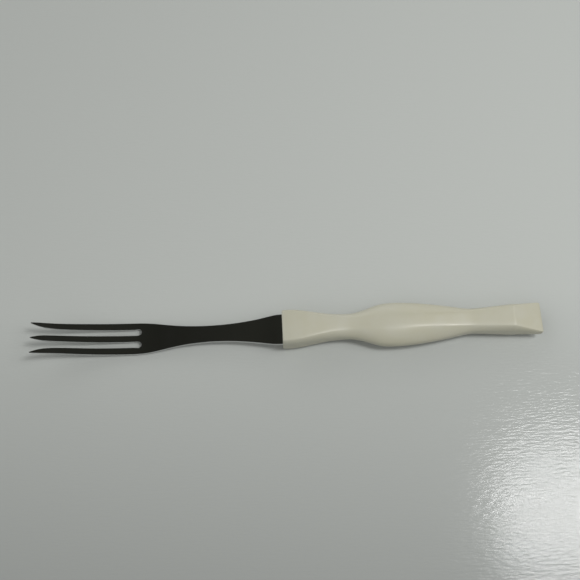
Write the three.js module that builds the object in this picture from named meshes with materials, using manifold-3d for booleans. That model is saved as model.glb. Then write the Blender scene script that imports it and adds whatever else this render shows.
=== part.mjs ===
// Carving fork: one steel fork with a hidden tang, two resin handle halves and three pins.
// Millimetres. X runs from the tine tips to the butt, Y across, Z up, the rest plane at Z = 0.
import * as THREE from "three";
import { mergeVertices } from "three/addons/utils/BufferGeometryUtils.js";
import Module from "manifold-3d";

const wasm = await Module();
wasm.setup();

// Steel fork
const bladeLength = 138.9;
const slotDepth = 59.3;
const headWidth = 18.15;
const tineWidth = 3.65;
const tipWidth = 0.4;
const shankWidth = 9.55;
const shoulderWidth = 17.4;
const steelThickness = 2.2;
const tipThickness = 0.7;
const heelDrop = 6.2;
const tipRise = 5.6;
const steelBevel = 0.35;
const shoulderInset = 2;
const tangTaper = 17;
const tangWidth = 8.4;
const tangEndWidth = 7.2;

// Handle
const handleLength = 145.3;
const landHalfThickness = 7.8;
const collarWidth = 19.9;
const collarFrontThickness = 14.4;
const frontWaistWidth = 13.8;
const frontWaistThickness = 12;
const swellWidth = 25;
const rearWaistWidth = 13.3;
const rearWaistThickness = 11.6;
const ridgeWidth = 15.9;
const buttWidth = 17.9;
const buttThickness = 4.4;
const edgeRound = 0.7;

// Tang, pins and fits
const tangLength = handleLength * 0.88;
const pinDiameter = 3;
const pinLength = 10;
const pinStations = {
  front_pin: tangLength * 0.172,
  middle_pin: tangLength * 0.484,
  rear_pin: tangLength * 0.92,
};
const pocketClearance = 0.15;
const pinClearance = 0.12;

// Value at x of a smooth curve through [x, value] keys, given in order.
function smooth(keys, x) {
  if (x <= keys[0][0]) return keys[0][1];
  const last = keys.length - 1;
  if (x >= keys[last][0]) return keys[last][1];
  let i = 0;
  while (x > keys[i + 1][0]) i++;
  const slope = (k) => (keys[k + 1][1] - keys[k][1]) / (keys[k + 1][0] - keys[k][0]);
  const tangent = (k) => {
    if (k === 0) return slope(0);
    if (k === last) return slope(last - 1);
    if (slope(k - 1) * slope(k) <= 0) return 0;
    const before = keys[k][0] - keys[k - 1][0];
    const after = keys[k + 1][0] - keys[k][0];
    const mean = (slope(k - 1) * after + slope(k) * before) / (before + after);
    const most = 3 * Math.min(Math.abs(slope(k - 1)), Math.abs(slope(k)));
    return Math.sign(mean) * Math.min(Math.abs(mean), most);
  };
  const step = keys[i + 1][0] - keys[i][0];
  const t = (x - keys[i][0]) / step;
  const a = keys[i][1];
  const b = keys[i + 1][1];
  const ta = tangent(i) * step;
  const tb = tangent(i + 1) * step;
  return a + t * (ta + t * (3 * (b - a) - 2 * ta - tb + t * (2 * (a - b) + ta + tb)));
}

// Positions from a to b no further apart than the step.
function stationsBetween(a, b, step) {
  const count = Math.max(1, Math.ceil(Math.abs(b - a) / step));
  return Array.from({ length: count + 1 }, (_, i) => a + ((b - a) * i) / count);
}

// Closed skin over rings of [y, z] points at rising x, each ring counter-clockwise seen from +X.
function loft(rings) {
  const count = rings[0].points.length;
  const positions = rings.flatMap(({ x, points }) => points.flatMap(([y, z]) => [x, y, z]));
  const index = [];
  for (let i = 0; i + 1 < rings.length; i++) {
    for (let j = 0; j < count; j++) {
      const a = i * count + j;
      const b = i * count + ((j + 1) % count);
      index.push(a, b, a + count, b, b + count, a + count);
    }
  }
  const cap = (ring) => {
    const outline = rings[ring].points.map(([y, z]) => new THREE.Vector2(y, z));
    return THREE.ShapeUtils.triangulateShape(outline, []);
  };
  for (const [a, b, c] of cap(0)) index.push(a, c, b);
  const end = (rings.length - 1) * count;
  for (const [a, b, c] of cap(rings.length - 1)) index.push(end + a, end + b, end + c);
  const geometry = new THREE.BufferGeometry();
  geometry.setAttribute("position", new THREE.Float32BufferAttribute(positions, 3));
  geometry.setIndex(index);
  return geometry;
}

function toSolid(geometry) {
  const bare = new THREE.BufferGeometry();
  bare.setAttribute("position", geometry.getAttribute("position"));
  bare.setIndex(geometry.getIndex());
  const merged = mergeVertices(bare, 1e-4);
  const vertProperties = new Float32Array(merged.getAttribute("position").array);
  const triVerts = new Uint32Array(merged.getIndex().array);
  return new wasm.Manifold(new wasm.Mesh({ numProp: 3, vertProperties, triVerts }));
}

function toGeometry(solid) {
  const mesh = solid.getMesh();
  const geometry = new THREE.BufferGeometry();
  geometry.setAttribute("position", new THREE.Float32BufferAttribute(mesh.vertProperties, 3));
  geometry.setIndex(new THREE.Uint32BufferAttribute(mesh.triVerts, 1));
  geometry.computeVertexNormals();
  return geometry;
}

function pinGeometry(station, diameter, length) {
  const geometry = new THREE.CylinderGeometry(diameter / 2, diameter / 2, length, 24);
  geometry.rotateX(Math.PI / 2);
  geometry.translate(station, 0, 0);
  return geometry;
}

// Plan of the steel: half width against x, with the collar face at x = 0.
const slotEnd = slotDepth - bladeLength;
const shankAt = slotEnd * 0.5;
const planKeys = [
  [-bladeLength, headWidth * 0.492],
  [-bladeLength * 0.895, headWidth * 0.475],
  [-bladeLength * 0.8, headWidth * 0.49],
  [slotEnd * 1.07, headWidth * 0.5],
  [slotEnd * 0.957, headWidth * 0.49],
  [slotEnd * 0.843, shankWidth / 2 + (headWidth - shankWidth) * 0.33],
  [slotEnd * 0.678, shankWidth / 2 + (headWidth - shankWidth) * 0.082],
  [shankAt, shankWidth / 2],
  [shankAt * 0.655, shankWidth / 2 + (shoulderWidth - shankWidth) * 0.071],
  [shankAt * 0.318, shankWidth / 2 + (shoulderWidth - shankWidth) * 0.281],
  [shankAt * 0.092, shankWidth / 2 + (shoulderWidth - shankWidth) * 0.481],
  [shoulderInset, shoulderWidth / 2],
];
const tangStart = shoulderInset + tangTaper;
const tangKeys = [
  [shoulderInset, shoulderWidth / 2],
  [shoulderInset + tangTaper * 0.18, shoulderWidth * 0.47],
  [shoulderInset + tangTaper * 0.65, tangWidth * 0.6],
  [tangStart, tangWidth / 2],
  [tangLength, tangEndWidth / 2],
];
const halfWidthAt = (x) => (x < shoulderInset ? smooth(planKeys, x) : smooth(tangKeys, x));

// Side line of the steel: height of its middle, and its half thickness.
const bendKeys = [
  [-bladeLength, tipRise],
  [-bladeLength * 0.895, tipRise - (tipRise + heelDrop) * 0.4],
  [-bladeLength * 0.8, tipRise - (tipRise + heelDrop) * 0.695],
  [slotEnd - slotDepth * 0.25, -heelDrop * 0.863],
  [slotEnd, -heelDrop],
  [slotEnd * 0.75, -heelDrop * 0.71],
  [shankAt, -heelDrop * 0.435],
  [shankAt * 0.4, -heelDrop * 0.25],
  [0, 0],
  [tangLength, 0],
];
const thicknessKeys = [
  [-bladeLength, tipThickness / 2],
  [-bladeLength * 0.955, steelThickness * 0.3],
  [-bladeLength * 0.88, steelThickness * 0.4],
  [-bladeLength * 0.7, steelThickness * 0.48],
  [slotEnd, steelThickness / 2],
  [tangLength, steelThickness / 2],
];
const middleAt = (x) => (x > 0 ? 0 : smooth(bendKeys, x));
const halfThicknessAt = (x) => smooth(thicknessKeys, x);
const bevelAt = (x) => Math.min(steelBevel, halfThicknessAt(x) * 0.45);

const steelStations = [
  ...stationsBetween(-bladeLength, slotEnd, 3.3),
  ...stationsBetween(slotEnd, 0, 3.4).slice(1),
  ...stationsBetween(0, tangStart, 2.4).slice(1),
  tangLength,
];
const steelRings = steelStations.map((x) => {
  const w = halfWidthAt(x);
  const t = halfThicknessAt(x);
  const c = bevelAt(x);
  const z = middleAt(x);
  const points = [
    [w, z - t + c],
    [w, z + t - c],
    [w - c, z + t],
    [c - w, z + t],
    [-w, z + t - c],
    [-w, z - t + c],
    [c - w, z - t],
    [w - c, z - t],
  ];
  return { x, points };
});

// Slot between the middle tine and one outer tine, round at the root and bevelled at its edges.
const innerKeys = [
  [-bladeLength, tipWidth / 2],
  [-bladeLength * 0.975, tineWidth * 0.33],
  [-bladeLength * 0.945, tineWidth * 0.43],
  [-bladeLength * 0.88, tineWidth * 0.455],
  [-bladeLength * 0.74, tineWidth / 2],
  [slotEnd, tineWidth / 2],
];
const outerTineKeys = [
  [-bladeLength, tipWidth],
  [-bladeLength * 0.975, tineWidth * 0.5],
  [-bladeLength * 0.945, tineWidth * 0.74],
  [-bladeLength * 0.88, tineWidth * 0.9],
  [-bladeLength * 0.74, tineWidth],
  [slotEnd, tineWidth * 1.07],
];
function slotRings(side) {
  const rootInner = smooth(innerKeys, slotEnd);
  const rootOuter = halfWidthAt(slotEnd) - smooth(outerTineKeys, slotEnd);
  const radius = (rootOuter - rootInner) / 2;
  const straightEnd = slotEnd - radius;
  const turns = Array.from({ length: 4 }, (_, i) => (Math.PI / 2) * ((i + 1) / 4.6));
  const arc = turns.map((turn) => straightEnd + radius * Math.sin(turn));
  const stations = [-bladeLength - 2, ...stationsBetween(-bladeLength, straightEnd, 3.3), ...arc];
  return stations.map((x) => {
    const inner = smooth(innerKeys, x);
    const outer = halfWidthAt(x) - smooth(outerTineKeys, x);
    const into = Math.min(1, Math.max(0, x - straightEnd) / radius);
    const half = ((outer - inner) / 2) * Math.sqrt(1 - into * into);
    const y = (outer + inner) / 2;
    const c = bevelAt(x);
    const t = halfThicknessAt(x) - c;
    const z = middleAt(x);
    const flare = c + 1;
    const points = [
      [y + half, z - t],
      [y + half, z + t],
      [y + half + flare, z + t + flare],
      [y - half - flare, z + t + flare],
      [y - half, z + t],
      [y - half, z - t],
      [y - half - flare, z - t - flare],
      [y + half + flare, z - t - flare],
    ];
    if (side > 0) return { x, points };
    return { x, points: points.map(([py, pz]) => [-py, pz]).reverse() };
  });
}

// Handle sections: place, half width, half thickness, share of the flat panel, share of the flank,
// then how hard the corner creases at the panel and at the flank.
const land = landHalfThickness;
const waist = frontWaistWidth / 2;
const waistDeep = frontWaistThickness / 2;
const rear = rearWaistWidth / 2;
const rearDeep = rearWaistThickness / 2;
const swell = swellWidth / 2;
const collar = collarWidth / 2;
const ridge = ridgeWidth / 2;
const butt = buttWidth / 2;
const mix = (a, b, f) => a + (b - a) * f;
const buttDeep = buttThickness / 2;
const sections = [
  [0, collar, collarFrontThickness / 2, 0.94, 0.5, 1.2, 1.2],
  [0.0396, collar * 0.995, land, 0.93, 0.4, 1.4, 1.3],
  [0.0892, mix(collar, waist, 0.27), land, 0.88, 0.26, 1.55, 1.45],
  [0.1833, mix(collar, waist, 0.9), mix(land, waistDeep, 0.34), 0.77, 0.18, 1.55, 1.5],
  [0.2478, waist, waistDeep, 0.62, 0.15, 1.65, 1.5],
  [0.2914, mix(waist, swell, 0.18), mix(waistDeep, land, 0.17), 0.46, 0.15, 1.5, 1.4],
  [0.3389, mix(waist, swell, 0.55), mix(waistDeep, land, 0.6), 0.29, 0.18, 1.4, 1.15],
  [0.3925, mix(waist, swell, 0.97), mix(waistDeep, land, 0.95), 0.22, 0.2, 1.4, 1.08],
  [0.4311, swell, land, 0.21, 0.2, 1.42, 1.06],
  [0.4955, swell * 0.965, land * 0.985, 0.22, 0.2, 1.6, 1.1],
  [0.5728, mix(rear, swell, 0.71), mix(rearDeep, land, 0.72), 0.285, 0.2, 1.75, 1.15],
  [0.6472, mix(rear, swell, 0.4), mix(rearDeep, land, 0.36), 0.39, 0.2, 1.8, 1.25],
  [0.7096, mix(rear, swell, 0.06), mix(rearDeep, land, 0.06), 0.55, 0.2, 1.8, 1.35],
  [0.7354, rear, rearDeep, 0.625, 0.22, 1.8, 1.4],
  [0.8028, mix(rear, ridge, 0.45), mix(rearDeep, land, 0.47), 0.68, 0.26, 1.7, 1.45],
  [0.8573, mix(rear, ridge, 0.79), mix(rearDeep, land, 0.84), 0.74, 0.3, 1.6, 1.45],
  [0.885, ridge, land, 0.75, 0.32, 1.55, 1.4],
  [0.8905, mix(ridge, butt, 0.06), mix(land, buttDeep, 0.045), 0.765, 0.34, 1.5, 1.4],
  [0.918, mix(ridge, butt, 0.32), mix(land, buttDeep, 0.285), 0.84, 0.45, 1.4, 1.3],
  [0.9518, mix(ridge, butt, 0.66), mix(land, buttDeep, 0.58), 0.885, 0.6, 1.2, 1.15],
  [0.985, mix(ridge, butt, 0.97), mix(land, buttDeep, 0.87), 0.91, 0.75, 1, 1],
  [1, butt, buttDeep, 0.92, 0.8, 1, 1],
];
const handleKeys = (column) => sections.map((row) => [row[0] * handleLength, row[column]]);
const columns = [1, 2, 3, 4, 5, 6].map(handleKeys);
const frontInsets = [
  [0, edgeRound],
  [edgeRound * 0.36, edgeRound * 0.36],
  [edgeRound * 1.15, 0],
];
const endInsets = [
  [edgeRound * 1.7, 0],
  [edgeRound * 0.57, edgeRound * 0.29],
  [0, edgeRound],
];

function handleRing(x, inset, side) {
  const here = columns.map((keys) => smooth(keys, x));
  const [fullWidth, fullThick, panelShare, flankShare, panelCrease, flankCrease] = here;
  const w = fullWidth - inset;
  const h = fullThick - inset;
  const panel = w * panelShare;
  const flank = h * flankShare;
  const corner = Array.from({ length: 7 }, (_, i) => {
    const angle = (Math.PI / 2) * (i / 6);
    const y = panel + (w - panel) * Math.cos(angle) ** panelCrease;
    const z = flank + (h - flank) * Math.sin(angle) ** flankCrease;
    return [y, z];
  });
  const upper = [[w, 0], ...corner, ...corner.map(([y, z]) => [-y, z]).reverse(), [-w, 0]];
  if (side > 0) return { x, points: upper };
  return { x, points: upper.map(([y, z]) => [y, -z]).reverse() };
}

function handleHalf(side) {
  const first = frontInsets.map(([x, inset]) => handleRing(x, inset, side));
  const last = endInsets.map(([back, inset]) => handleRing(handleLength - back, inset, side));
  const knots = [frontInsets[2][0], ...sections.map((row) => row[0] * handleLength)];
  knots.push(handleLength - endInsets[0][0]);
  const inner = knots.filter((x) => x >= frontInsets[2][0] && x <= handleLength - endInsets[0][0]);
  inner.sort((a, b) => a - b);
  const between = inner.slice(1).flatMap((x, i) => stationsBetween(inner[i], x, 3.6).slice(1));
  const middle = between.slice(0, -1).map((x) => handleRing(x, 0, side));
  return toSolid(loft([...first, ...middle, ...last]));
}

// Room in the handle for the tang and the pins.
const pocketStations = [-shoulderInset, ...stationsBetween(0, tangStart, 2.4), tangLength + pocketClearance];
const pocket = toSolid(
  loft(
    pocketStations.map((x) => {
      const w = halfWidthAt(Math.max(x, shoulderInset)) + pocketClearance;
      const t = steelThickness / 2 + pocketClearance;
      const points = [
        [w, -t],
        [w, t],
        [-w, t],
        [-w, -t],
      ];
      return { x, points };
    }),
  ),
);
const stations = Object.values(pinStations);
const holes = stations.map((x) => {
  const diameter = pinDiameter + 2 * pinClearance;
  return toSolid(pinGeometry(x, diameter, pinLength + 2 * pinClearance));
});

let steel = toSolid(loft(steelRings));
for (const side of [1, -1]) steel = steel.subtract(toSolid(loft(slotRings(side))));
let upperHalf = handleHalf(1).subtract(pocket);
let lowerHalf = handleHalf(-1).subtract(pocket);
for (const hole of holes) {
  steel = steel.subtract(hole);
  upperHalf = upperHalf.subtract(hole);
  lowerHalf = lowerHalf.subtract(hole);
}

const steelLook = new THREE.MeshStandardMaterial({ color: 0xb4b7ba, roughness: 0.15, metalness: 1 });
const resinLook = new THREE.MeshStandardMaterial({ color: 0xd8d3b6, roughness: 0.3, metalness: 0 });
const pinLook = new THREE.MeshStandardMaterial({ color: 0xc9c2ae, roughness: 0.35, metalness: 1 });

function addPiece(group, name, geometry, material) {
  const mesh = new THREE.Mesh(geometry, material);
  mesh.name = name;
  group.add(mesh);
}

const assembly = new THREE.Group();
addPiece(assembly, "fork", toGeometry(steel), steelLook);
addPiece(assembly, "handle_upper_half", toGeometry(upperHalf), resinLook);
addPiece(assembly, "handle_lower_half", toGeometry(lowerHalf), resinLook);
for (const [name, x] of Object.entries(pinStations)) {
  addPiece(assembly, name, pinGeometry(x, pinDiameter, pinLength), pinLook);
}

// The origin is under the middle of the whole length, on the rest plane.
assembly.position.set((bladeLength - handleLength) / 2, 0, landHalfThickness);
const carvingFork = new THREE.Group();
carvingFork.add(assembly);
export default carvingFork;
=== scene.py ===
from math import atan2, cos, pi, radians, sin, tan

import bmesh
import bpy
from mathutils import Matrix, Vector


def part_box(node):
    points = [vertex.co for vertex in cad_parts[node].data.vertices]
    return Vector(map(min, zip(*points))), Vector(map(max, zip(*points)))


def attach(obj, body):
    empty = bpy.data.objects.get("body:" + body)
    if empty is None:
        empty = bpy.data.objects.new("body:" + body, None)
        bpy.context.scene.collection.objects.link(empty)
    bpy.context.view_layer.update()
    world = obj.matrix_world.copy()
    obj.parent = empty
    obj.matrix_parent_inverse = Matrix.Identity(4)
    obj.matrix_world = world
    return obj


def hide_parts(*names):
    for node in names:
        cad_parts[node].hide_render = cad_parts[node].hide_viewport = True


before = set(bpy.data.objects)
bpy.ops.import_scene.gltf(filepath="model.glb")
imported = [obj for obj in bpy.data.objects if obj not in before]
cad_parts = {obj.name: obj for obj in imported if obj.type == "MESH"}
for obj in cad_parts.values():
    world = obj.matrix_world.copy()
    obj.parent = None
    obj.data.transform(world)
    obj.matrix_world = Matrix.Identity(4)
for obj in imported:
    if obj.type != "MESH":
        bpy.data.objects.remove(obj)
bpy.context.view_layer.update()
mm = 0.001
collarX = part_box("handle_upper_half")[0].x  # front face of the handle, where the steel goes in
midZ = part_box("handle_upper_half")[0].z  # plane where the two halves meet
bpy.context.scene.view_settings.view_transform = "Standard"
print("frame loaded, collar at", round(collarX / mm, 2), "mm, halves meet at", round(midZ / mm, 2), "mm")


# selecting and finishing, as by hand in edit mode
def editPoints():
    mesh = bmesh.from_edit_mesh(bpy.context.edit_object.data)
    mesh.verts.index_update()
    mesh.verts.ensure_lookup_table()
    return mesh.verts


def pickPoints(test):
    bpy.ops.mesh.select_all(action="DESELECT")
    mesh = bmesh.from_edit_mesh(bpy.context.edit_object.data)
    for point in mesh.verts:
        if test(point):
            point.select = True
    mesh.select_flush(True)


def startEdit(name):
    piece = bpy.context.object
    piece.name = name
    piece.data.name = name
    bpy.ops.object.transform_apply(location=True, rotation=True, scale=True)
    bpy.ops.object.mode_set(mode="EDIT")
    bpy.ops.mesh.select_mode(type="VERT")
    bpy.ops.mesh.select_all(action="SELECT")
    return piece


def endEdit():
    bpy.ops.mesh.select_all(action="SELECT")
    bpy.ops.mesh.normals_make_consistent(inside=False)
    bpy.ops.object.mode_set(mode="OBJECT")


def makeActive(piece):
    bpy.ops.object.select_all(action="DESELECT")
    bpy.context.view_layer.objects.active = piece
    piece.select_set(True)


def applyModifier(piece, kind, **settings):
    makeActive(piece)
    modifier = piece.modifiers.new(kind.lower(), kind)
    for key, value in settings.items():
        setattr(modifier, key, value)
    bpy.ops.object.modifier_apply(modifier=modifier.name)


def copyPiece(piece, name):
    makeActive(piece)
    bpy.ops.object.duplicate()
    copy = bpy.context.object
    copy.name = name
    copy.data.name = name
    return copy


# handle, lofted ring by ring from the collar to the butt
handle = {
    "startRadius": 0.005,
    "ringPoints": 28,
    "smoothing": 2,
    "smoothAngle": 35,
    "seam": 0.05,
    # mm from the collar face, half width, half thickness, panel share, flank share,
    # crease at the panel and at the flank
    "rings": [
        (0, 8.3, 5.6, 0.94, 0.5, 1.2, 1.2),
        (0, 9.25, 6.5, 0.94, 0.5, 1.2, 1.2),
        (0.25, 9.72, 6.98, 0.82, 0.42, 1, 1),
        (0.85, 9.95, 7.28, 0.81, 0.42, 1, 1),
        (3, 9.97, 7.7, 0.8, 0.4, 1, 1),
        (6, 9.94, 7.81, 0.79, 0.38, 1, 1),
        (9.5, 9.65, 7.81, 0.775, 0.35, 1.02, 1.02),
        (13, 9.17, 7.76, 0.74, 0.32, 1.02, 1.04),
        (22, 7.7, 7.14, 0.59, 0.26, 1, 1.04),
        (26.6, 7.19, 6.76, 0.48, 0.24, 0.97, 1.02),
        (31.5, 6.94, 6.34, 0.39, 0.22, 0.96, 1.02),
        (36, 6.86, 6.02, 0.35, 0.2, 1.02, 1.06),
        (39.5, 7.17, 6.04, 0.36, 0.18, 1.14, 1.14),
        (42.6, 7.87, 6.25, 0.39, 0.15, 1.3, 1.22),
        (45.8, 8.9, 6.62, 0.35, 0.13, 1.28, 1.18),
        (49.2, 10.07, 7.08, 0.29, 0.12, 1.24, 1.12),
        (53, 11.48, 7.5, 0.25, 0.12, 1.2, 1.08),
        (57.2, 12.34, 7.74, 0.22, 0.12, 1.16, 1.05),
        (62.6, 12.55, 7.83, 0.21, 0.12, 1.18, 1.04),
        (67.5, 12.39, 7.82, 0.212, 0.12, 1.28, 1.05),
        (72.5, 12.07, 7.72, 0.222, 0.13, 1.42, 1.06),
        (78, 11.49, 7.5, 0.25, 0.14, 1.52, 1.08),
        (83.5, 10.75, 7.25, 0.287, 0.15, 1.58, 1.1),
        (89, 9.85, 6.88, 0.335, 0.17, 1.6, 1.12),
        (94, 8.95, 6.52, 0.39, 0.19, 1.6, 1.14),
        (98.6, 7.98, 6.2, 0.455, 0.22, 1.56, 1.18),
        (103, 7.03, 5.9, 0.52, 0.26, 1.46, 1.19),
        (106.8, 6.59, 5.76, 0.56, 0.3, 1.3, 1.18),
        (116.6, 7.24, 6.74, 0.6, 0.3, 1.2, 1.15),
        (125.6, 7.75, 7.58, 0.655, 0.3, 1.16, 1.13),
        (128.1, 7.93, 7.82, 0.665, 0.3, 1.15, 1.12),
        (128.9, 7.99, 7.8, 0.67, 0.3, 1.15, 1.12),
        (130.2, 7.95, 7.32, 0.7, 0.3, 1.15, 1.12),
        (133.4, 8.03, 6.2, 0.78, 0.32, 1.15, 1.12),
        (142, 8.64, 3.27, 0.89, 0.48, 1, 1),
        (144.1, 8.76, 2.6, 0.915, 0.6, 1, 1),
        (144.95, 8.56, 2.15, 0.92, 0.7, 1, 1),
        (145.3, 8.3, 1.65, 0.92, 0.8, 1, 1),
        (145.3, 7.4, 1.2, 0.92, 0.8, 1, 1),
    ],
    # room for the tang: mm from the collar face, half width
    "pocket": [(-2, 8.85), (2, 8.85), (5.06, 8.33), (9, 6.65), (13.05, 5.19), (19, 4.35), (128.02, 3.75)],
    "pocketStart": 0.002,
    "pocketHalfHeight": 1.25,
    "socketDiameter": 3.24,
    "socketLength": 10.24,
    "socketSides": 48,
}


def shapeRing(wide, deep, panel, flank, panelCrease, flankCrease):
    points = editPoints()
    ring = [p.index for p in points if p.select]
    ring.sort(key=lambda i: round(atan2(abs(points[i].co.z - midZ), abs(points[i].co.y)), 5))
    matching = [ring[i:i + 4] for i in range(0, len(ring), 4)]  # the same point in all four quarters
    for step, four in enumerate(matching):
        turn = pi / 2 * step / (len(matching) - 1)
        y = wide * (panel + (1 - panel) * cos(turn) ** panelCrease)
        z = deep * (flank + (1 - flank) * sin(turn) ** flankCrease)
        here = editPoints()[four[0]].co
        scale = (1, y * mm / abs(here.y), z * mm / abs(here.z - midZ))
        pickPoints(lambda p: p.index in four)
        bpy.ops.transform.resize(value=scale, center_override=(0, 0, midZ))
    pickPoints(lambda p: p.index in ring)


def makeHandle():
    bpy.ops.object.select_all(action="DESELECT")
    halfStep = pi / handle["ringPoints"]
    bpy.ops.mesh.primitive_circle_add(
        vertices=handle["ringPoints"], radius=handle["startRadius"], fill_type="NGON",
        location=(collarX, 0, midZ), rotation=(0, pi / 2, 0))
    piece = startEdit("handle_body")
    bpy.ops.transform.rotate(value=halfStep, orient_axis="X", center_override=(collarX, 0, midZ))
    last = 0
    for i, (along, *section) in enumerate(handle["rings"]):
        if i > 0:
            bpy.ops.mesh.extrude_region_move(TRANSFORM_OT_translate={"value": ((along - last) * mm, 0, 0)})
        shapeRing(*section)
        last = along
    endEdit()
    applyModifier(piece, "SUBSURF", levels=handle["smoothing"], render_levels=handle["smoothing"])
    return piece


def makePocket():
    bpy.ops.object.select_all(action="DESELECT")
    bpy.ops.mesh.primitive_plane_add(
        size=handle["pocketStart"], location=(collarX, 0, midZ), rotation=(0, pi / 2, 0))
    cutter = startEdit("tang_pocket")
    tall = handle["pocketHalfHeight"]
    for i, (along, wide) in enumerate(handle["pocket"]):
        if i > 0:
            bpy.ops.mesh.extrude_region_move(TRANSFORM_OT_translate={"value": (mm, 0, 0)})
        points = [p for p in editPoints() if p.select]
        here = points[0].co
        scale = (0, wide * mm / abs(here.y), tall * mm / abs(here.z - midZ))
        bpy.ops.transform.resize(value=scale, center_override=(collarX + along * mm, 0, midZ))
    endEdit()
    return cutter


def makePinCutters(diameter, length):
    cutters = []
    for name in ("front_pin", "middle_pin", "rear_pin"):
        low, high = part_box(name)
        bpy.ops.object.select_all(action="DESELECT")
        bpy.ops.mesh.primitive_cylinder_add(
            vertices=handle["socketSides"], radius=diameter / 2 * mm, depth=length * mm,
            location=(low + high) / 2)
        bpy.ops.object.transform_apply(location=True, rotation=True, scale=True)
        cutters.append(bpy.context.object)
    return cutters


def cutAway(piece, cutters):
    for cutter in cutters:
        applyModifier(piece, "BOOLEAN", object=cutter, operation="DIFFERENCE", solver="EXACT")


def splitHalf(body, name, upper):
    half = copyPiece(body, name)
    bpy.ops.object.mode_set(mode="EDIT")
    bpy.ops.mesh.select_mode(type="EDGE")
    bpy.ops.mesh.select_all(action="SELECT")
    bpy.ops.mesh.bisect(
        plane_co=(0, 0, midZ), plane_no=(0, 0, 1), use_fill=True, clear_inner=upper, clear_outer=not upper)
    bpy.ops.mesh.bevel(offset=handle["seam"] * mm, segments=1, affect="EDGES", clamp_overlap=True)
    endEdit()
    return half


body = makeHandle()
upperHalf = splitHalf(body, "handle_upper", True)
lowerHalf = splitHalf(body, "handle_lower", False)
bpy.data.objects.remove(body)
pocket = makePocket()
sockets = makePinCutters(handle["socketDiameter"], handle["socketLength"])
for half in (upperHalf, lowerHalf):
    cutAway(half, [pocket, *sockets])
    makeActive(half)
    bpy.ops.object.shade_smooth_by_angle(angle=radians(handle["smoothAngle"]))
for cutter in (pocket, *sockets):
    bpy.data.objects.remove(cutter)
print("handle halves:", len(upperHalf.data.polygons), "and", len(lowerHalf.data.polygons), "faces")


# steel fork, a strip of seven quads drawn out along the tang and shank, then three tines
fork = {
    "startSize": 0.008,
    "lineShares": (0.174, 0.414, 0.653, 1),
    # mm from the collar face, half width
    "tangAndShank": [
        (127.86, 3.6), (125, 3.62), (90, 3.84), (50, 4.02), (22, 4.18), (18.5, 4.24), (15, 4.66),
        (11, 5.82), (7, 7.35), (4.2, 8.38), (1.5, 8.68), (-1, 8.68), (-4, 8.55), (-8, 7.9),
        (-12.7, 6.98), (-19, 6.02), (-26, 5.26), (-33, 4.83), (-39.8, 4.67), (-46.5, 4.86),
        (-54, 5.36), (-60.5, 6.2), (-67.1, 7.34), (-72, 8.22), (-76.2, 8.76), (-79.6, 9),
    ],
    # mm from the collar face, middle tine half width, inner edge of an outer tine, outer edge
    "tines": [
        (-82.7, 1.83, 5.16, 9.09), (-86, 1.83, 5.19, 9.1), (-91, 1.83, 5.22, 9.09),
        (-97, 1.83, 5.26, 9.04), (-103, 1.83, 5.28, 8.98), (-109, 1.81, 5.26, 8.91),
        (-115.5, 1.76, 5.22, 8.79), (-122.2, 1.71, 5.26, 8.64), (-127, 1.68, 5.42, 8.64),
        (-131.3, 1.6, 5.86, 8.73), (-134, 1.38, 6.42, 8.78), (-136.2, 0.98, 7.12, 8.79),
        (-138, 0.48, 7.84, 8.75), (-139.1, 0.2, 8.28, 8.68),
    ],
    # how far the slot's round end moves: corners along and in, middle along
    "rootCorner": (-0.75, 0.12),
    "rootMiddle": 0.35,
    "thickness": 2.2,
    # mm from the collar face, height above the handle's middle, half thickness
    "sideLine": [
        (0, 0, 1.1), (-4, -0.5, 1.1), (-8, -1.02, 1.1), (-12.7, -1.48, 1.1), (-19, -1.84, 1.1),
        (-26, -2.05, 1.1), (-33, -2.38, 1.1), (-39.8, -2.72, 1.1), (-46.5, -3.2, 1.1),
        (-54, -3.85, 1.1), (-60.5, -4.5, 1.1), (-67.1, -5.25, 1.1), (-72, -5.75, 1.1),
        (-76.2, -6.08, 1.1), (-79.6, -6.22, 1.1), (-82.7, -6.22, 1.1), (-86, -6.1, 1.09),
        (-91, -5.72, 1.08), (-97, -5.02, 1.06), (-103, -4.12, 1.04), (-109, -3, 1.01),
        (-115.5, -1.55, 0.97), (-122.2, 0.25, 0.88), (-127, 1.66, 0.81), (-131.3, 3.03, 0.71),
        (-134, 3.93, 0.6), (-136.2, 4.68, 0.49), (-138, 5.28, 0.4), (-139.1, 5.65, 0.33),
    ],
    "rimAngle": 60,
    "edgeCrease": 0.68,
    "smoothing": 3,
    "smoothAngle": 40,
    "holeDiameter": 3.24,
}


def sideAt(along):
    line = fork["sideLine"]
    if along >= line[0][0]:
        return line[0][1:]
    for (a, riseA, thickA), (b, riseB, thickB) in zip(line, line[1:]):
        if along >= b:
            share = (along - a) / (b - a)
            return riseA + (riseB - riseA) * share, thickA + (thickB - thickA) * share
    return line[-1][1:]


def shapeColumn(along, lines):
    bpy.ops.transform.resize(value=(0, 1, 1), center_override=(collarX + along * mm, 0, midZ))
    points = editPoints()
    column = [p.index for p in points if p.select]
    column.sort(key=lambda i: round(abs(points[i].co.y), 7))
    for step, wanted in enumerate(lines):
        pair = column[2 * step:2 * step + 2]
        here = abs(editPoints()[pair[0]].co.y)
        pickPoints(lambda p: p.index in pair)
        bpy.ops.transform.resize(value=(1, wanted * mm / here, 1), center_override=(0, 0, midZ))
    pickPoints(lambda p: p.index in column)


def pushColumn():
    bpy.ops.mesh.extrude_region_move(TRANSFORM_OT_translate={"value": (-mm, 0, 0)})


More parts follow.
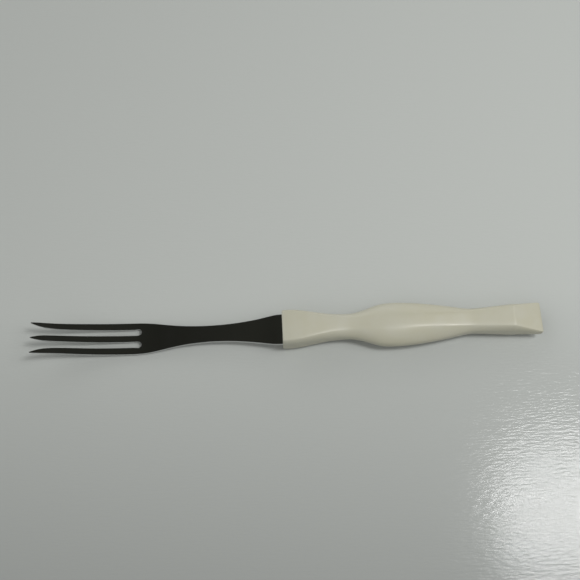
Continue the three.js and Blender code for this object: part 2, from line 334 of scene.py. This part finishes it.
def roundRoot():
    points = editPoints()
    column = [p.index for p in points if p.select]
    column.sort(key=lambda i: round(abs(points[i].co.y), 7))
    inner, middle, outer = column[0:2], column[2:4], column[4:6]
    alongMove, inMove = fork["rootCorner"]
    for pair, grow in ((inner, 1), (outer, -1)):
        here = abs(editPoints()[pair[0]].co.y)
        pickPoints(lambda p: p.index in pair)
        bpy.ops.transform.resize(value=(1, 1 + grow * inMove * mm / here, 1), center_override=(0, 0, midZ))
        bpy.ops.transform.translate(value=(alongMove * mm, 0, 0))
    pickPoints(lambda p: p.index in middle)
    bpy.ops.transform.translate(value=(fork["rootMiddle"] * mm, 0, 0))
    pickPoints(lambda p: p.index in column and p.index not in middle)  # only the three tine edges are left


def creaseRims():
    bpy.ops.mesh.select_mode(type="EDGE")
    bpy.ops.mesh.select_all(action="DESELECT")
    mesh = bmesh.from_edit_mesh(bpy.context.edit_object.data)
    for edge in mesh.edges:
        level = abs(edge.verts[0].co.z - edge.verts[1].co.z) < 1e-6
        if level and edge.calc_face_angle(0) > radians(fork["rimAngle"]):
            edge.select = True
    mesh.select_flush_mode()
    bpy.ops.transform.edge_crease(value=fork["edgeCrease"])
    bpy.ops.mesh.select_mode(type="VERT")


def bendSteel():
    stations = sorted({round(p.co.x, 7) for p in editPoints()})
    for x in stations:
        rise, thick = sideAt((x - collarX) / mm)
        pickPoints(lambda p: abs(p.co.x - x) < 1e-7)
        bpy.ops.transform.resize(value=(1, 1, 2 * thick / fork["thickness"]), center_override=(0, 0, midZ))
        bpy.ops.transform.translate(value=(0, 0, rise * mm))


def makeFork():
    bpy.ops.object.select_all(action="DESELECT")
    bpy.ops.mesh.primitive_grid_add(
        x_subdivisions=1, y_subdivisions=7, size=fork["startSize"], location=(collarX, 0, midZ))
    piece = startEdit("steel_fork")
    (tangEnd, endWidth), *rows = fork["tangAndShank"]
    pickPoints(lambda p: p.co.x > collarX)
    shapeColumn(tangEnd, [share * endWidth for share in fork["lineShares"]])
    pickPoints(lambda p: p.co.x < collarX)
    for i, (along, wide) in enumerate(rows):
        if i > 0:
            pushColumn()
        shapeColumn(along, [share * wide for share in fork["lineShares"]])
    roundRoot()
    for along, *lines in fork["tines"]:
        pushColumn()
        shapeColumn(along, lines)
    endEdit()
    applyModifier(piece, "SOLIDIFY", thickness=fork["thickness"] * mm, offset=0)
    bpy.ops.object.mode_set(mode="EDIT")
    creaseRims()
    bendSteel()
    endEdit()
    applyModifier(piece, "SUBSURF", levels=fork["smoothing"], render_levels=fork["smoothing"])
    return piece


steelFork = makeFork()
drills = makePinCutters(fork["holeDiameter"], fork["thickness"] * 3)
cutAway(steelFork, drills)
for drill in drills:
    bpy.data.objects.remove(drill)
makeActive(steelFork)
bpy.ops.object.shade_smooth_by_angle(angle=radians(fork["smoothAngle"]))
print("fork:", len(steelFork.data.polygons), "faces")


# finishes
def newFinish(name):
    finish = bpy.data.materials.new(name)
    finish.use_nodes = True
    tree = finish.node_tree
    return finish, tree, tree.nodes["Principled BSDF"]


def addNode(tree, kind, **settings):
    node = tree.nodes.new(kind)
    for key, value in settings.items():
        if key in node.inputs:
            node.inputs[key].default_value = value
        else:
            setattr(node, key, value)
    return node


def noiseAlong(tree, stretch, scale, detail):
    coords = addNode(tree, "ShaderNodeTexCoord")
    mapping = addNode(tree, "ShaderNodeMapping")
    mapping.inputs["Scale"].default_value = stretch
    noise = addNode(tree, "ShaderNodeTexNoise", Scale=scale, Detail=detail)
    tree.links.new(coords.outputs["Object"], mapping.inputs["Vector"])
    tree.links.new(mapping.outputs["Vector"], noise.inputs["Vector"])
    return noise.outputs["Fac"]


def rangeOf(tree, value, fromLow, fromHigh, toLow, toHigh):
    spread = addNode(tree, "ShaderNodeMapRange")
    ends = (("From Min", fromLow), ("From Max", fromHigh), ("To Min", toLow), ("To Max", toHigh))
    for key, number in ends:
        spread.inputs[key].default_value = number
    tree.links.new(value, spread.inputs["Value"])
    return spread.outputs["Result"]


def blendColours(tree, factor, first, second):
    mix = addNode(tree, "ShaderNodeMix", data_type="RGBA")
    mix.inputs[6].default_value = (*first, 1)
    mix.inputs[7].default_value = (*second, 1)
    tree.links.new(factor, mix.inputs[0])
    return mix.outputs[2]


def addBump(tree, height, strength, distance, under=None):
    bump = addNode(tree, "ShaderNodeBump", Strength=strength, Distance=distance)
    tree.links.new(height, bump.inputs["Height"])
    if under is not None:
        tree.links.new(under, bump.inputs["Normal"])
    return bump.outputs["Normal"]


steelLook = {
    "bright": (0.59, 0.592, 0.585),
    "dull": (0.51, 0.512, 0.503),
    "roughness": (0.05, 0.12),
    "smudgeScale": 55,
    "lineStretch": (30, 900, 900),
    "wearScale": 900,
}


def steelFinish():
    finish, tree, shader = newFinish("polished_steel")
    shader.inputs["Metallic"].default_value = 1
    smudge = noiseAlong(tree, (1, 1, 1), steelLook["smudgeScale"], 3)
    lines = noiseAlong(tree, steelLook["lineStretch"], 1, 4)
    wear = noiseAlong(tree, (1, 1, 1), steelLook["wearScale"], 2)
    tree.links.new(
        blendColours(tree, rangeOf(tree, smudge, 0.4, 0.7, 0, 1), steelLook["bright"], steelLook["dull"]),
        shader.inputs["Base Color"])
    low, high = steelLook["roughness"]
    tree.links.new(rangeOf(tree, smudge, 0.38, 0.72, low, high), shader.inputs["Roughness"])
    fine = addBump(tree, lines, 0.06, 0.00002)
    tree.links.new(addBump(tree, wear, 0.03, 0.00002, fine), shader.inputs["Normal"])
    return finish


resinLook = {
    "cream": (0.445, 0.438, 0.355),
    "yellowed": (0.437, 0.424, 0.325),
    "pale": (0.46, 0.458, 0.39),
    "roughness": (0.32, 0.41),
    "broadScale": 38,
    "cloudScale": 150,
    "peelScale": 1400,
    "scuffStretch": (60, 900, 900),
}


def resinFinish():
    finish, tree, shader = newFinish("cream_resin")
    broad = noiseAlong(tree, (0.6, 1, 1), resinLook["broadScale"], 2)
    cloudy = noiseAlong(tree, (1, 1, 1), resinLook["cloudScale"], 4)
    peel = noiseAlong(tree, (1, 1, 1), resinLook["peelScale"], 2)
    scuffs = noiseAlong(tree, resinLook["scuffStretch"], 1, 3)
    age = rangeOf(tree, broad, 0.35, 0.68, 0, 1)
    tone = blendColours(tree, age, resinLook["cream"], resinLook["yellowed"])
    mottle = addNode(tree, "ShaderNodeMix", data_type="RGBA")
    mottle.inputs[7].default_value = (*resinLook["pale"], 1)
    tree.links.new(rangeOf(tree, cloudy, 0.45, 0.75, 0, 0.35), mottle.inputs[0])
    tree.links.new(tone, mottle.inputs[6])
    tree.links.new(mottle.outputs[2], shader.inputs["Base Color"])
    low, high = resinLook["roughness"]
    tree.links.new(rangeOf(tree, cloudy, 0.35, 0.7, low, high), shader.inputs["Roughness"])
    skin = addBump(tree, peel, 0.08, 0.00004)
    tree.links.new(addBump(tree, scuffs, 0.05, 0.00003, skin), shader.inputs["Normal"])
    return finish


pinLook = {
    "light": (0.74, 0.63, 0.36),
    "dark": (0.6, 0.49, 0.25),
    "roughness": (0.22, 0.4),
    "drawnStretch": (900, 900, 60),
}


def pinFinish():
    finish, tree, shader = newFinish("pin_brass")
    shader.inputs["Metallic"].default_value = 1
    drawn = noiseAlong(tree, pinLook["drawnStretch"], 1, 3)
    tree.links.new(
        blendColours(tree, rangeOf(tree, drawn, 0.35, 0.65, 0, 1), pinLook["light"], pinLook["dark"]),
        shader.inputs["Base Color"])
    low, high = pinLook["roughness"]
    tree.links.new(rangeOf(tree, drawn, 0.3, 0.7, low, high), shader.inputs["Roughness"])
    tree.links.new(addBump(tree, drawn, 0.1, 0.00002), shader.inputs["Normal"])
    return finish


def putFinish(piece, finish):
    piece.data.materials.clear()
    piece.data.materials.append(finish)


steel, resin, brass = steelFinish(), resinFinish(), pinFinish()
for piece, finish, node, slot in (
        (steelFork, steel, "fork", "polished_steel"),
        (upperHalf, resin, "handle_upper_half", "cream_resin"),
        (lowerHalf, resin, "handle_lower_half", "cream_resin")):
    putFinish(piece, finish)
    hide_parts(node)
    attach(piece, "root")
for name in ("front_pin", "middle_pin", "rear_pin"):
    putFinish(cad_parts[name], brass)
print("finishes on, pieces ride the root body")


# floor, light and camera
stageSet = {
    "floorSize": 6,
    # the floor colour is lighter at the far side and darker at the near side: painted light and painted
    # shade, not the floor's own tone
    "floorFarPaintedLight": (0.465, 0.484, 0.461),
    "floorNearPaintedShade": (0.298, 0.31, 0.297),
    "floorPaintedShadeSpan": (-0.16, 0.02),  # metres across the floor, near to far
    "floorRoughness": (0.1, 0.13),
    "floorGrain": (40, 160, 1),
    "floorShine": 0.16,
    "ripples": (190, 800, 1),  # how often per metre, along and across
    "rippleHeight": 0.0001,
    "rippleStrength": 0.8,
    # place, size, power
    "lamps": [((0.48, -0.02, 1.05), 0.26, 4.8), ((0.8, 0, 0.95), 0.6, 3.3)],
    # the sky is dark only where the steel mirrors it: direction, then how near to it and the colour there
    "darkSide": (0.132, 0.3, 0.945),
    "sky": [
        (0, (1, 1, 1)),
        (0.72, (0.9, 0.9, 0.9)),
        (0.87, (0.017, 0.0174, 0.014)),
        (1, (0.031, 0.0316, 0.026)),
    ],
    "skyStrength": 0.93,
    "brightSide": (-0.6, 0.8, 0),
    "skySides": (0.3, 1.44),  # away from the bright side and towards it
}


def makeFloor():
    bpy.ops.object.select_all(action="DESELECT")
    bpy.ops.mesh.primitive_plane_add(size=stageSet["floorSize"])
    floor = bpy.context.object
    floor.name = "floor"
    finish, tree, shader = newFinish("floor_paint")
    coords = addNode(tree, "ShaderNodeTexCoord")
    split = addNode(tree, "ShaderNodeSeparateXYZ")
    tree.links.new(coords.outputs["Object"], split.inputs["Vector"])
    # painted shade: the floor's colour darkens from the far side towards the near side
    paintedShade = rangeOf(tree, split.outputs["Y"], *stageSet["floorPaintedShadeSpan"], 0, 1)
    tree.links.new(
        blendColours(tree, paintedShade, stageSet["floorNearPaintedShade"], stageSet["floorFarPaintedLight"]), shader.inputs["Base Color"])
    grain = noiseAlong(tree, stageSet["floorGrain"], 1, 3)
    tree.links.new(rangeOf(tree, grain, 0.3, 0.7, *stageSet["floorRoughness"]), shader.inputs["Roughness"])
    shader.inputs["Specular IOR Level"].default_value = stageSet["floorShine"]
    ripples = noiseAlong(tree, stageSet["ripples"], 1, 2)
    rippled = addBump(tree, ripples, stageSet["rippleStrength"], stageSet["rippleHeight"])
    tree.links.new(rippled, shader.inputs["Normal"])
    putFinish(floor, finish)


def makeLamps():
    for place, size, power in stageSet["lamps"]:
        bpy.ops.object.light_add(type="AREA", location=place)
        lamp = bpy.context.object
        lamp.rotation_euler = Vector(place).to_track_quat("Z", "Y").to_euler()
        lamp.data.shape = "DISK"
        lamp.data.size = size
        lamp.data.energy = power


def makeSky():
    world = bpy.data.worlds.new("studio")
    bpy.context.scene.world = world
    world.use_nodes = True
    tree = world.node_tree
    background = tree.nodes["Background"]
    background.inputs["Strength"].default_value = stageSet["skyStrength"]
    coords = addNode(tree, "ShaderNodeTexCoord")
    ramp = addNode(tree, "ShaderNodeValToRGB")
    steps = ramp.color_ramp.elements
    for i, (place, colour) in enumerate(stageSet["sky"]):
        step = steps[i] if i < 2 else steps.new(place)
        step.position = place
        step.color = (*colour, 1)
    aim = addNode(tree, "ShaderNodeVectorMath", operation="DOT_PRODUCT")
    aim.inputs[1].default_value = stageSet["darkSide"]
    tree.links.new(coords.outputs["Generated"], aim.inputs[0])
    tree.links.new(aim.outputs["Value"], ramp.inputs["Fac"])
    across = addNode(tree, "ShaderNodeVectorMath", operation="DOT_PRODUCT")
    across.inputs[1].default_value = stageSet["brightSide"]
    tree.links.new(coords.outputs["Generated"], across.inputs[0])
    sides = rangeOf(tree, across.outputs["Value"], -1, 1, *stageSet["skySides"])
    shaded = addNode(tree, "ShaderNodeMix", data_type="RGBA", blend_type="MULTIPLY")
    shaded.inputs[0].default_value = 1
    tree.links.new(ramp.outputs["Color"], shaded.inputs[6])
    tree.links.new(sides, shaded.inputs[7])
    tree.links.new(shaded.outputs[2], background.inputs["Color"])


shot = {
    "azimuth": -2.634,
    "elevation": 69.75,
    "fieldOfView": 38.083,
    "sensorWidth": 36,
    "distance": 486.3,
    "target": (5.474, 26.21, 0),  # mm from the collar face, on the floor
}


def makeCamera():
    turn, tilt = radians(shot["azimuth"]), radians(shot["elevation"])
    back = Vector((sin(turn) * cos(tilt), -cos(turn) * cos(tilt), sin(tilt)))
    target = Vector(shot["target"]) * mm + Vector((collarX, 0, 0))
    bpy.ops.object.camera_add(
        location=target + back * shot["distance"] * mm, rotation=(pi / 2 - tilt, 0, turn))
    camera = bpy.context.object
    camera.data.sensor_width = shot["sensorWidth"]
    camera.data.lens = shot["sensorWidth"] / 2 / tan(radians(shot["fieldOfView"]) / 2)
    camera.data.clip_start = 0.01
    bpy.context.scene.camera = camera


makeFloor()
makeLamps()
makeSky()
makeCamera()
print("floor, lamps, sky and camera set")
